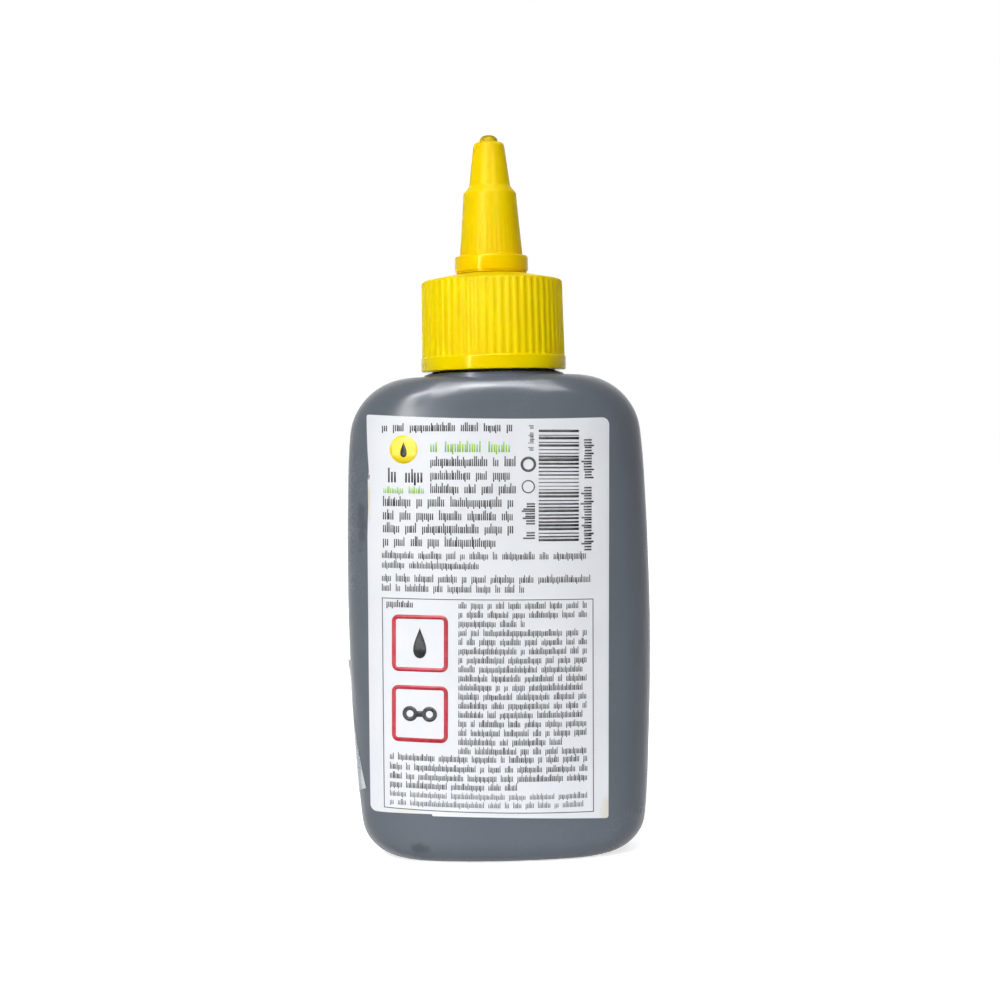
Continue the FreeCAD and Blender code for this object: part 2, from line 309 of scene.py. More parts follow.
def slicedSheet(outlines, stepX, stepZ):
    # flat faces in XZ, cut into strips so that they can follow a curve
    bm = bmesh.new()
    for outline in outlines:
        bm.faces.new([bm.verts.new((x, 0, z)) for x, z in outline])
    bmesh.ops.remove_doubles(bm, verts=bm.verts, dist=1e-4)
    for axis, step in ((0, stepX), (2, stepZ)):
        low = min(v.co[axis] for v in bm.verts)
        high = max(v.co[axis] for v in bm.verts)
        across = Vector((1, 0, 0)) if axis == 0 else Vector((0, 0, 1))
        for k in range(math.ceil(low / step), math.floor(high / step) + 1):
            bmesh.ops.bisect_plane(bm, geom=bm.verts[:] + bm.edges[:] + bm.faces[:], dist=1e-5,
                                   plane_co=across * (k * step), plane_no=across)
    return bm


def turnFaces(bm, axis):
    # all faces towards the low end of the axis
    bmesh.ops.recalc_face_normals(bm, faces=bm.faces)
    for face in bm.faces:
        if face.normal[axis] > 0:
            face.normal_flip()


# the blown body's form, as the solids have it

bodyForm = {"width": 60.3, "depth": 31.0, "height": 94.8, "belly": 49.6, "sideBow": 497.0, "face": 54.2,
            "shoulderSide": 12.6, "shoulderFace": 4.0, "footSide": 8.0, "footFace": 4.5}


def sideReach(z):
    b = bodyForm
    centre = b["width"] / 2 - b["sideBow"]
    for radius, level, below in ((b["footSide"], b["footSide"], True),
                                 (b["shoulderSide"], b["height"] - b["shoulderSide"], False)):
        rise = level - b["belly"]
        run = math.sqrt((b["sideBow"] - radius) ** 2 - rise ** 2)
        meets = level + radius * rise / (b["sideBow"] - radius)
        if (z < meets) == below:
            return centre + run + math.sqrt(max(radius ** 2 - (z - level) ** 2, 0))
    return centre + math.sqrt(b["sideBow"] ** 2 - (z - b["belly"]) ** 2)


def faceReach(z):
    b = bodyForm
    radius, level = b["footFace"], b["footFace"]
    if z > b["belly"]:
        radius, level = b["shoulderFace"], b["height"] - b["shoulderFace"]
    over = abs(z - level) if abs(z - b["belly"]) > abs(level - b["belly"]) else 0
    return b["depth"] / 2 - radius + math.sqrt(max(radius ** 2 - over ** 2, 0))


def ovalAt(z):
    width, depth, face = sideReach(z), faceReach(z), bodyForm["face"]
    flank = (face ** 2 - width ** 2 - (face - depth) ** 2) / (2 * (face - width))
    return width, depth, face, flank, math.atan2(width - flank, face - depth)


def frontAt(x, z, proud):
    width, depth, face, flank, meet = ovalAt(z)
    out = abs(x) - width + flank
    if out > flank * math.sin(meet):
        return -math.sqrt(max((flank + proud) ** 2 - out ** 2, 0))
    return face - depth - math.sqrt((face + proud) ** 2 - x ** 2)


def leftAt(y, z, proud):
    width, depth, face, flank, meet = ovalAt(z)
    if abs(y) < flank * math.cos(meet):
        return -(width - flank + math.sqrt((flank + proud) ** 2 - y ** 2))
    return -math.sqrt((face + proud) ** 2 - (abs(y) + face - depth) ** 2)


# bottle: the CAD node keeps its shape and gets the satin plastic

bottleLook = {
    "grey": srgb(97, 103, 111), "paleGrey": srgb(101, 107, 116), "smudgeAndShade": srgb(62, 66, 66),
    "grain": (55.0, 2200.0), "roughness": (0.23, 0.28), "specular": 0.09, "bump": 0.04,
    "partingEdge": 0.22, "partingFlat": 0.08, "partingRise": 4.0,
    "stains": [("smudgeAndShade", (-16.2, -12, 3.2), (2.6, 4, 1.6), 0.5, 0.9, 450),
               ("smudgeAndShade", (-26.6, -8, 66), (1.2, 4, 5), 0.4, 1.1, 500),
               # the last stain is painted shade: a dark band round the neck land just under the cap, where
               # the cap's shadow falls; the first two are smudges
               ("smudgeAndShade", (0, 0, 95.4), (30, 30, 1.0), 0.95, 0.1, 300)]}


def finishBottle():
    look = bottleLook
    finish, tree, skin, where = startFinish("bottleSatinPlastic")
    grain = grained(tree, where, *look["grain"])
    colour = blendColour(tree, grain["Cloud"], look["grey"], look["paleGrey"])
    fill(tree, skin, {"Base Color": stained(tree, where, colour, look),
                      "Roughness": spread(tree, grain["Cloud"], *look["roughness"]),
                      "Specular IOR Level": look["specular"]})
    # mould parting line round the flanks
    across = calc(tree, "ABSOLUTE", axes(tree, where)["Y"])
    line = eased(tree, across, look["partingEdge"] * mm, look["partingFlat"] * mm)
    bumped(tree, skin, calc(tree, "MULTIPLY_ADD", line, look["partingRise"], grain["Height"]), look["bump"])
    dressNode("bottle", finish)


finishBottle()
print("bottle finished")


# screw cap and drip spout, spun, with their ribs raised by nodes

def startGeometry(name, inputs):
    shape = ("Geometry", "Geometry")
    return startGroup(name, "GeometryNodeTree", [shape, *inputs, ("Finish", "Material")], [shape])


def endTree(tree, given, out, shape):
    real = put(tree, "GeometryNodeRealizeInstances", {"Geometry": shape})
    done = put(tree, "GeometryNodeSetMaterial", {"Geometry": real, "Material": given["Finish"]})
    fill(tree, out, {0: done})
    return tree


def heldValue(tree, name):
    return put(tree, "GeometryNodeInputNamedAttribute", {"Name": name}, data_type="FLOAT").outputs[0]


def makeRibTree():
    tree, given, out = startGeometry("raiseRibs", [
        ("Rib Count", "Float"), ("Rib Height", "Float"), ("Groove End", "Float", -0.55),
        ("Crest Start", "Float", 0.55)])
    place = tree.nodes.new("GeometryNodeInputPosition").outputs[0]
    parts = axes(tree, place)
    angle = calc(tree, "ARCTAN2", parts["Y"], parts["X"])
    wave = calc(tree, "COSINE", calc(tree, "MULTIPLY", angle, given["Rib Count"]))
    crest = eased(tree, wave, given["Groove End"], given["Crest Start"])
    share = heldValue(tree, "ribShare")
    rise = calc(tree, "MULTIPLY", calc(tree, "MULTIPLY", crest, given["Rib Height"]), share)
    outward = vectorCalc(tree, "NORMALIZE", vectorCalc(tree, "MULTIPLY", place, (1, 1, 0)))
    move = put(tree, "ShaderNodeVectorMath", {0: outward, "Scale": rise}, operation="SCALE")
    moved = put(tree, "GeometryNodeSetPosition", {"Geometry": given["Geometry"], "Offset": move})
    return endTree(tree, given, out, moved)


raiseRibs = makeRibTree()

yellowLook = {
    "cap": srgb(247, 219, 0), "capDeep": srgb(243, 212, 0), "spout": srgb(250, 214, 0),
    "spoutDeep": srgb(247, 207, 0), "darkOlive": srgb(104, 84, 22),
    "grain": (120.0, 3000.0), "roughness": (0.19, 0.11), "matte": 0.22, "matteBlend": 0.2, "bump": 0.05,
    "specular": 0.04, "specularTint": (1.0, 0.92, 0.32, 1),
    "glow": 0.35, "glowDepth": 1.6, "glowRadius": (1.0, 0.55, 0.1),
    "speckScale": 420.0, "speckSize": 0.14, "speckStrength": 0.7,
    # the one stain turns the pin's dome on top of the cap dark olive; the specks take the same colour
    "stains": [("darkOlive", (0, 0, 143.2), (4.0, 4.0, 3.5), 0.7, 0.35, 700)]}


def yellowFinish(tone, speckShare, matteFrom):
    look = yellowLook
    finish, tree, skin, where = startFinish(tone + "YellowPlastic")
    grain = grained(tree, where, *look["grain"])
    colour = blendColour(tree, grain["Cloud"], look[tone + "Deep"], look[tone])
    specks = fillGroup(tree, dirtSpecks, {"Vector": where, "Scale": look["speckScale"], "Share": speckShare,
                                          "Size": look["speckSize"]})
    speckled = calc(tree, "MULTIPLY", specks["Mask"], look["speckStrength"])
    colour = stained(tree, where, blendColour(tree, speckled, colour, look["darkOlive"]), look)
    # the polished foot, bead and flange end where the satin ribs begin
    start, end = ((matteFrom + side * look["matteBlend"]) * mm for side in (-1, 1))
    satin = ranged(tree, axes(tree, where)["Z"], start, end, 0.0, look["matte"])
    shine = spread(tree, grain["Cloud"], *look["roughness"])
    fill(tree, skin, {"Base Color": colour, "Roughness": calc(tree, "ADD", shine, satin),
                      "Specular IOR Level": look["specular"], "Specular Tint": look["specularTint"],
                      "Subsurface Weight": look["glow"], "Subsurface Scale": look["glowDepth"] * mm,
                      "Subsurface Radius": look["glowRadius"]})
    bumped(tree, skin, grain["Height"], look["bump"])
    return finish


def ribbedPiece(name, bm, shape, tone, matteFrom):
    bmesh.ops.recalc_face_normals(bm, faces=bm.faces)
    piece = addPiece(name, fromBmesh(name, bm))
    runNodes(piece, raiseRibs, {"Rib Count": float(shape["ribs"]), "Rib Height": shape["ribHeight"] * mm,
                                "Finish": yellowFinish(tone, shape["specks"], matteFrom)})
    shadeSmooth(piece.data, shape["sharp"])
    return piece


capShape = {"bore": 12.2, "foot": 95.9, "beadTop": 98.7, "bead": 14.42, "ribFoot": 14.0, "ribRim": 13.8,
            "rim": 113.81, "rimRound": 0.55, "deckTop": 115.11, "deckEdge": 7.3, "deckUnder": 112.61,
            "ribs": 56, "ribHeight": 0.2, "ribBand": (12.95, 14.05), "ribEnd": 113.86, "columnsPerRib": 10,
            "specks": 0.05, "sharp": 50}
stemShape = {"bore": 2.5, "radius": 4.1, "topRadius": 3.3, "top": 129.11, "sunk": 0.3, "columns": 72,
             "collar": 4.65, "collarFoot": 121.01, "collarHeight": 1.3, "collarBand": 0.52,
             "underCollar": 3.76, "overCollar": 3.68, "hub": 1.4, "pin": 1.85, "pinFoot": 138.71,
             "pinTop": 142.71, "pinTaper": 1.0, "pinRound": 1.33, "pinColumns": 64,
             "spokes": 3, "spokeWidth": 1.1, "spokeHeight": 1.6}
threadShape = {"pitch": 3.175, "turns": 1.5, "start": 102.65, "foot": 2.0, "crest": 0.9, "crestRadius": 11.05,
               "sunk": 0.2, "stepsPerTurn": 56}


def addThread(bm):
    t = threadShape
    rings = []
    root = capShape["bore"] + t["sunk"]
    steps = int(t["turns"] * t["stepsPerTurn"])
    for k in range(steps + 1):
        angle = 2 * math.pi * t["turns"] * k / steps
        lift = t["start"] + t["pitch"] * t["turns"] * k / steps
        ring = []
        for radius, rise in ((root, -t["foot"] / 2), (t["crestRadius"], -t["crest"] / 2),
                             (t["crestRadius"], t["crest"] / 2), (root, t["foot"] / 2)):
            ring.append(bm.verts.new((radius * math.cos(angle), radius * math.sin(angle), lift + rise)))
        rings.append(ring)
    for low, high in zip(rings, rings[1:]):
        for i in range(4):
            bm.faces.new((low[i], high[i], high[(i + 1) % 4], low[(i + 1) % 4]))
    bm.faces.new(rings[0])
    bm.faces.new(rings[-1][::-1])


def addSpokes(bm):
    s = stemShape
    reach = s["bore"] + s["sunk"]
    for i in range(s["spokes"]):
        made = bmesh.ops.create_cube(bm, size=1)["verts"]
        bmesh.ops.scale(bm, vec=(reach, s["spokeWidth"], s["spokeHeight"]), verts=made)
        bmesh.ops.translate(bm, vec=(reach / 2, 0, s["top"] - s["spokeHeight"] / 2), verts=made)
        bmesh.ops.rotate(bm, matrix=Matrix.Rotation(2 * math.pi * i / s["spokes"], 3, "Z"), verts=made)


def makeCap():
    c, s = capShape, stemShape

    def ribbed(radius, z):
        # full on the skirt, fading over the rounded rim
        low, high = c["ribBand"]
        if not (low <= radius <= high and c["beadTop"] - slack <= z <= c["rim"] + slack):
            return 0
        return min(1, max(0, (c["ribEnd"] - z) / c["rimRound"]))

    bm = bmesh.new()
    shell = roundedLine([
        (c["bore"], c["foot"], 0.15), (c["bead"], c["foot"], 0.3), (c["bead"], c["beadTop"], 0.25),
        (c["ribFoot"], c["beadTop"]), (c["ribRim"], c["rim"], c["rimRound"]),
        (c["deckEdge"], c["deckTop"], 0.4), (s["bore"], c["deckTop"]), (s["bore"], c["deckUnder"]),
        (c["bore"], c["deckUnder"], 0.4),
    ], True)
    turned(bm, shell, c["ribs"] * c["columnsPerRib"], True, ribbed)
    stemFoot, collarTop = c["deckTop"] - s["sunk"], s["collarFoot"] + s["collarHeight"]
    stem = roundedLine([
        (s["bore"], stemFoot), (s["radius"], stemFoot), (s["underCollar"], s["collarFoot"]),
        (s["collar"], s["collarFoot"], 0.12), (s["collar"], s["collarFoot"] + s["collarBand"], 0.12),
        (s["overCollar"], collarTop), (s["topRadius"], s["top"], 0.2), (s["bore"], s["top"], 0.2),
    ], True)
    turned(bm, stem, s["columns"], True)
    hubFoot = s["top"] - s["spokeHeight"]
    pin = roundedLine([
        (0, hubFoot), (s["hub"], hubFoot), (s["hub"], s["pinFoot"] - s["pinTaper"]), (s["pin"], s["pinFoot"]),
        (s["pin"], s["pinTop"], s["pinRound"]), (0, s["pinTop"]),
    ], False, 8)
    turned(bm, pin, s["pinColumns"], False)
    addThread(bm)
    addSpokes(bm)
    cap = ribbedPiece("ribbedCap", bm, c, "cap", c["beadTop"])
    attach(cap, "cap")
    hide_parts("screw_cap")


spoutShape = {"foot": 115.26, "flange": 7.3, "footInset": 0.3, "footHeight": 0.4, "flangeTop": 118.71,
              "barrel": 6.2, "barrelTop": 131.21, "barrelEnd": 5.23, "tip": 4.1, "tipFoot": 132.61,
              "tipEnd": 3.0, "top": 141.31, "orifice": 1.95, "orificeDepth": 1.7, "lip": 4.35,
              "lipTop": 117.36, "bore": 4.9, "boreTop": 122.56, "wall": 1.1, "innerRise": 1.0,
              "gripLine": [(6.04, 120.8), (5.88, 122.9), (5.71, 125.0), (5.54, 127.21)], "gripMatch": 0.05,
              "ribs": 40, "ribHeight": 0.055, "ribLength": 8.5, "columnsPerRib": 8, "specks": 0.02,
              "sharp": 40}


def makeSpout():
    p = spoutShape
    taper = (p["barrel"] - p["barrelEnd"]) / (p["barrelTop"] - p["flangeTop"])

    def gripped(radius, z):
        # ribs fade up the outside of the barrel
        rise = z - p["flangeTop"]
        if rise < -slack or abs(radius - p["barrel"] + taper * rise) > p["gripMatch"]:
            return 0
        return max(0, 1 - rise / p["ribLength"])

    bm = bmesh.new()
    footEdge, footTop = p["flange"] - p["footInset"], p["foot"] + p["footHeight"]
    line = roundedLine([
        (p["lip"], p["foot"], 0.2), (footEdge, p["foot"], 0.1), (footEdge, footTop),
        (p["flange"], footTop, 0.15), (p["flange"], p["flangeTop"], 0.5), (p["barrel"], p["flangeTop"]),
        *p["gripLine"],
        (p["barrelEnd"], p["barrelTop"], 0.8), (p["tip"], p["tipFoot"], 0.3), (p["tipEnd"], p["top"], 0.9),
        (p["orifice"], p["top"], 0.15), (p["orifice"], p["top"] - p["orificeDepth"]),
        (p["tip"] - p["wall"], p["tipFoot"] + p["innerRise"]), (p["barrelEnd"] - p["wall"], p["barrelTop"]),
        (p["bore"], p["boreTop"]), (p["bore"], p["lipTop"]), (p["lip"], p["lipTop"], 0.2),
    ], True, 6)
    turned(bm, line, p["ribs"] * p["columnsPerRib"], True, gripped)
    spout = ribbedPiece("dripSpout", bm, p, "spout", p["flangeTop"])
    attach(spout, "spout")
    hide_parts("drip_spout")


makeCap()
makeSpout()
print("cap and spout spun")


# gasket: the CAD node in white foam

gasketLook = {"foam": srgb(236, 235, 230), "cells": srgb(214, 212, 204), "cellScale": 2600.0,
              "roughness": 0.8, "bump": 0.4, "cellDepth": 0.05}


def finishGasket():
    look = gasketLook
    finish, tree, skin, where = startFinish("gasketFoam")
    foam = put(tree, "ShaderNodeTexVoronoi", {"Vector": where, "Scale": look["cellScale"]})
    cells = foam.outputs["Distance"]
    colour = blendColour(tree, spread(tree, cells, 0, 1), look["foam"], look["cells"])
    fill(tree, skin, {"Base Color": colour, "Roughness": look["roughness"]})
    bumped(tree, skin, cells, look["bump"], look["cellDepth"])
    dressNode("gasket", finish)


finishGasket()


# paper label, wrapped on the body's front

labelSheet = {
    "width": 46.7, "height": 77.0, "middle": (-2.4, 48.3), "tilt": 1.4, "thickness": 0.12, "proud": 0.17,
    "topBow": 0.62, "bottomBow": 0.55, "bowBand": 2, "cutStep": 2.0, "slices": (0.5, 2.5),
    "paper": srgb(226, 229, 233), "paperShade": srgb(222, 225, 230), "yellowed": srgb(216, 209, 190),
    "grime": srgb(88, 90, 84), "specular": 0.12, "grain": (90.0, 3500.0), "roughness": (0.42, 0.55),
    "bump": 0.1,
    "stains": [("yellowed", (20.6, -12, 9.4), (2.2, 8, 4.0), 0.75, 0.5, 350),
               ("yellowed", (-20, -13, 10.0), (6, 8, 0.8), 0.4, 0.9, 300),
               ("yellowed", (-24.9, -10, 71), (0.55, 4, 4), 0.8, 0.8, 600),
               ("grime", (-24.9, -10, 75.6), (0.45, 4, 0.9), 0.8, 0.7, 1500)]}


def onBody(x, z, proud):
    # label's own flat place, in millimetres from its middle, to a place on the body
    tilt = math.radians(labelSheet["tilt"])
    midX, midZ = labelSheet["middle"]
    bodyX = midX + x * math.cos(tilt) + z * math.sin(tilt)
    bodyZ = midZ - x * math.sin(tilt) + z * math.cos(tilt)
    return Vector((bodyX, frontAt(bodyX, bodyZ, proud), bodyZ))


def thicken(mesh, amount, name):
    piece = addPiece(name, mesh)
    wall = piece.modifiers.new("wall", "SOLIDIFY")
    wall.thickness, wall.offset = amount * mm, -1
    settle(piece, wall)
    shadeSmooth(piece.data, softEdge)
    return piece


def paperFinish():
    s = labelSheet
    finish, tree, skin, where = startFinish("labelPaper")
    grain = grained(tree, where, *s["grain"])
    colour = blendColour(tree, grain["Cloud"], s["paperShade"], s["paper"])
    fill(tree, skin, {"Base Color": stained(tree, where, colour, s), "Specular IOR Level": s["specular"],
                      "Roughness": spread(tree, grain["Cloud"], *s["roughness"])})
    bumped(tree, skin, grain["Height"], s["bump"])
    return finish


# the cut edge from the lower left on: torn step, two right corners, upper left, worn left edge
labelCorners = [
    (-22.85, -38.95, 1.3), (-10.6, -39.02), (-10.4, -39.4), (23.75, -39.65, 0.5), (23.7, 38.35, 1.5),
    (-23.6, 38.8, 0.35), (-23.35, 31.8), (-23.1, 28.4), (-23.05, 27.6), (-23.3, 26.6), (-23.2, 20.5),
    (-23.35, 15.0)]


def labelOutline():
    s = labelSheet
    line = roundedLine(labelCorners, True, 6)
    points = []
    for here, ahead in zip(line, line[1:] + line[:1]):
        steps = max(1, round((ahead - here).length / s["cutStep"]))
        points += [here.lerp(ahead, k / steps) for k in range(steps)]
    for point in points:
        bow = max(0, 1 - (2 * point.x / s["width"]) ** 2)
        if point.y > s["height"] / 2 - s["bowBand"]:
            point.y -= s["topBow"] * bow
        elif point.y < s["bowBand"] - s["height"] / 2:
            point.y += s["bottomBow"] * bow
    return points


def makeLabel():
    s = labelSheet
    bm = slicedSheet([labelOutline()], *s["slices"])
    for v in bm.verts:
        v.co = onBody(v.co.x, v.co.z, s["proud"])
    label = thicken(fromBmesh("paperLabel", bm), s["thickness"], "paperLabel")
    label.data.materials.append(paperFinish())
    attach(label, "bottle")
    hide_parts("label")
    return label


paperLabel = makeLabel()
print("label wrapped")


# print on the label: inks draped on the sheet by nodes

drapeRay = {"start": -60, "length": 100, "merge": 0.0005}


def makeDrapeTree():
    tree, given, out = startGeometry("drapeInk", [
        ("Sheet", "Object"), ("Lift", "Float", 0.008 * mm), ("Ink Depth", "Float", 0.012 * mm)])
    sheet = put(tree, "GeometryNodeObjectInfo", {"Object": given["Sheet"]}).outputs["Geometry"]
    place = tree.nodes.new("GeometryNodeInputPosition").outputs[0]
    parts = axes(tree, place)
    start = vectorOf(tree, parts["X"], drapeRay["start"] * mm, parts["Z"])
    ray = put(tree, "GeometryNodeRaycast", {
        "Target Geometry": sheet, "Source Position": start, "Ray Direction": (0, 1, 0),
        "Ray Length": drapeRay["length"] * mm})
    missed = put(tree, "FunctionNodeBooleanMath", {0: ray.outputs["Is Hit"]}, operation="NOT")
    kept = put(tree, "GeometryNodeDeleteGeometry", {"Geometry": given["Geometry"], "Selection": missed})
    lift = put(tree, "ShaderNodeVectorMath", {0: ray.outputs["Hit Normal"], "Scale": given["Lift"]},
               operation="SCALE")
    spot = vectorCalc(tree, "ADD", ray.outputs["Hit Position"], lift)
    laid = put(tree, "GeometryNodeSetPosition", {"Geometry": kept, "Position": spot})
    raised = put(tree, "GeometryNodeExtrudeMesh", {"Mesh": laid, "Individual": False,
                                                   "Offset Scale": given["Ink Depth"]})
    under = put(tree, "GeometryNodeFlipFaces", {"Mesh": laid})
    both = tree.nodes.new("GeometryNodeJoinGeometry")
    tree.links.new(raised.outputs["Mesh"], both.inputs[0])
    tree.links.new(under.outputs[0], both.inputs[0])
    closed = put(tree, "GeometryNodeMergeByDistance", {"Geometry": both, "Distance": drapeRay["merge"] * mm})
    return endTree(tree, given, out, closed)


drapeInk = makeDrapeTree()


def endInked(tree, given, out, shapes):
    real = put(tree, "GeometryNodeRealizeInstances", {"Geometry": shapes})
    inked = put(tree, "GeometryNodeGroup", {"Geometry": real, "Sheet": given["Sheet"],
                                            "Finish": given["Finish"]}, node_tree=drapeInk)
    return endTree(tree, given, out, inked)


def copiedRow(tree, given, amount, pitch, x, z):
    # copies of each point, a pitch apart along a direction in XZ, and how far each has gone
    many = put(tree, "GeometryNodeDuplicateElements", {"Geometry": given["Geometry"], "Amount": amount},
               domain="POINT")
    along = calc(tree, "MULTIPLY", many.outputs["Duplicate Index"], pitch)
    step = vectorOf(tree, calc(tree, "MULTIPLY", along, x), 0.0, calc(tree, "MULTIPLY", along, z))
    return put(tree, "GeometryNodeSetPosition", {"Geometry": many, "Offset": step}), along


def makeLinesTree():
    # each point is the start of a line of small marks; run, tall, pitch and turn ride on the points
    tree, given, out = startGeometry("greekLines", [
        ("Sheet", "Object"), ("Mark A", "Object"), ("Mark B", "Object"), ("Mark C", "Object"),
        ("Word Gap", "Float", 0.24), ("Tilt", "Float"), ("Seed", "Int")])

    def chance(step, low=0.0, high=1.0):
        # sockets 2 and 3 are the least and the most
        seed = calc(tree, "ADD", given["Seed"], float(step))
        item = put(tree, "FunctionNodeRandomValue", {2: low, 3: high, "Seed": seed}, data_type="FLOAT")
        return item.outputs[1]

    def both(operation, first, second):
        return put(tree, "FunctionNodeBooleanMath", {0: first, 1: second}, operation=operation).outputs[0]

    pitch = heldValue(tree, "pitch")
    amount = calc(tree, "FLOOR", calc(tree, "DIVIDE", heldValue(tree, "run"), pitch))
    lean = calc(tree, "MULTIPLY_ADD", heldValue(tree, "turn"), math.pi / 2,
                calc(tree, "MULTIPLY", given["Tilt"], -1.0))
    laidOut, along = copiedRow(tree, given, amount, pitch, calc(tree, "COSINE", lean),
                               calc(tree, "SINE", lean))
    # a gap between words: by chance, never at the start of a line, never two in a row
    gap = put(tree, "FunctionNodeCompare", {"A": chance(1), "B": given["Word Gap"]}, operation="LESS_THAN")
    later = put(tree, "FunctionNodeCompare", {"A": along, "B": slack * mm}, operation="GREATER_THAN")
    index = tree.nodes.new("GeometryNodeInputIndex").outputs[0]
    before = put(tree, "GeometryNodeFieldAtIndex", domain="POINT", data_type="BOOLEAN")
    fill(tree, before, {"Index": calc(tree, "SUBTRACT", index, 1.0), "Value": gap})
    single = both("NIMPLY", gap, before)
    words = put(tree, "GeometryNodeDeleteGeometry", {"Geometry": laidOut,
                                                     "Selection": both("AND", single, later)})
    marks = tree.nodes.new("GeometryNodeJoinGeometry")
    for name in ("Mark C", "Mark B", "Mark A"):
        info = put(tree, "GeometryNodeObjectInfo", {"Object": given[name]})
        alone = put(tree, "GeometryNodeGeometryToInstance", {"Geometry": info.outputs["Geometry"]})
        tree.links.new(alone.outputs[0], marks.inputs[0])
    pick = calc(tree, "FLOOR", chance(2, 0.0, 2.999))
    high = calc(tree, "MULTIPLY", heldValue(tree, "tall"), chance(3, 0.94, 1.12))
    wide = calc(tree, "MULTIPLY", pitch, chance(4, 0.9, 1.0))
    facing = calc(tree, "MULTIPLY", lean, -1.0)
    placed = put(tree, "GeometryNodeInstanceOnPoints", {
        "Points": words, "Instance": marks, "Pick Instance": True, "Instance Index": pick,
        "Rotation": vectorOf(tree, y=facing), "Scale": vectorOf(tree, wide, 1.0, high)})
    return endInked(tree, given, out, placed)


greekLines = makeLinesTree()

inkLook = {"dark": srgb(34, 37, 42), "body": srgb(58, 62, 68), "pale": srgb(108, 114, 120),
           "green": srgb(148, 200, 62), "red": srgb(186, 14, 42), "yellow": srgb(252, 226, 0),
           "black": srgb(22, 23, 26)}
inkWear = {"grain": (700.0, 4000.0), "fadeTo": 0.6, "fade": 0.06, "roughness": (0.4, 0.5)}


def inkFinish(name, colour):
    w = inkWear
    finish, tree, skin, where = startFinish(name)
    grain = grained(tree, where, *w["grain"])
    faded = [v + (w["fadeTo"] - v) * w["fade"] for v in colour[:3]] + [1]
    fill(tree, skin, {"Base Color": blendColour(tree, grain["Cloud"], colour, faded),
                      "Roughness": spread(tree, grain["Cloud"], *w["roughness"]),
                      "Specular IOR Level": labelSheet["specular"]})
    return finish


inks = {name: inkFinish("ink" + name.capitalize(), colour) for name, colour in inkLook.items()}


def boxOutline(left, low, right, high):
    return [(left, low), (right, low), (right, high), (left, high)]


def flatMark(name, boxes):
    bm = bmesh.new()
    for box in boxes:
        bm.faces.new([bm.verts.new((x, 0, z)) for x, z in boxOutline(*box)])
    bmesh.ops.remove_doubles(bm, verts=bm.verts, dist=1e-4)
    return addPiece(name, fromBmesh(name, bm, 1.0))


def fromLabelCorner(x, z):
    # millimetres right of and below the label's upper left corner, to a flat place in the frame
    spot = onBody(x - labelSheet["width"] / 2, labelSheet["height"] / 2 - z, 0)
    return (spot.x * mm, 0, spot.z * mm)


# lines of small print: ink, left, base line, right, mark height, pitch, upright
printLines = [
    ("dark", 2.9, 3.0, 29.2, 1.6, 1.1, 0),
    ("green", 12.4, 7.0, 28.9, 2.1, 1.4, 0),
    ("dark", 4.1, 12.9, 10.9, 2.6, 1.7, 0),
    ("green", 3.2, 15.0, 11.2, 1.3, 1.0, 0),
    *[("dark", 12.4, base, 28.9, 1.8, 1.1, 0) for base in (9.7, 12.3, 14.9)],
    *[("dark", 3.1, base, 28.9, 1.8, 1.1, 0) for base in (17.5, 20.1, 22.6)],
    ("dark", 3.1, 25.2, 25.2, 1.8, 1.1, 0),
    ("body", 2.9, 27.6, 43.9, 1.4, 0.9, 0),
    ("body", 2.9, 29.5, 22.6, 1.4, 0.9, 0),
    ("body", 2.9, 32.1, 43.9, 1.45, 0.92, 0),
    ("body", 2.9, 34.0, 31.5, 1.45, 0.92, 0),
    ("dark", 3.8, 37.1, 9.2, 1.3, 1.05, 0),
    ("body", 32.3, 6.7, 5.0, 1.0, 0.7, 1),
    ("dark", 32.6, 23.7, 8.2, 2.3, 1.4, 1),
    ("dark", 43.6, 26.0, 23.0, 2.0, 1.55, 1),
]
smallPrint = {"left": 17.9, "right": 43.3, "first": 37.1, "pitch": 1.758, "lines": 17,
              "short": {2: 31.4, 15: 38.4}, "wideLeft": 4.5, "paleLines": (73.95, 75.6),
              "wideLines": {66.8: 43.3, 68.7: 43.3, 70.5: 43.3, 72.2: 29.8},
              "marks": (1.3, 0.8, 0), "paleMarks": (1.15, 0.8, 0)}


def printRows():
    rows = list(printLines)
    p = smallPrint
    for i in range(p["lines"]):
        base, right = p["first"] + p["pitch"] * i, p["short"].get(i, p["right"])
        rows.append(("body", p["left"], base, right, *p["marks"]))
    for base, right in p["wideLines"].items():
        rows.append(("body", p["wideLeft"], base, right, *p["marks"]))
    for base in p["paleLines"]:
        rows.append(("pale", p["wideLeft"], base, p["right"], *p["paleMarks"]))
    return rows


# three small marks of three strokes, each with its foot and head in shares of the mark's height
markShapes = {"markTallFirst": ((0, 1), (0, 0.72), (0, 0.72)),
              "markTallLast": ((0, 0.72), (0, 0.72), (0, 1)),
              "markHanging": ((-0.2, 0.72), (0, 0.72), (0, 0.72))}
markStroke = {"left": 0.02, "right": 0.245, "pitch": 0.38}


def makeMarks():
    m = markStroke
    marks = []
    for name, strokes in markShapes.items():
        marks.append(flatMark(name, [(m["left"] + m["pitch"] * k, low, m["right"] + m["pitch"] * k, high)
                                     for k, (low, high) in enumerate(strokes)]))
    return marks


def hold(mesh, name, values):
    mesh.attributes.new(name, "FLOAT", "POINT").data.foreach_set("value", values)


printSeeds = {"dark": 12, "body": 32, "pale": 52, "green": 72}


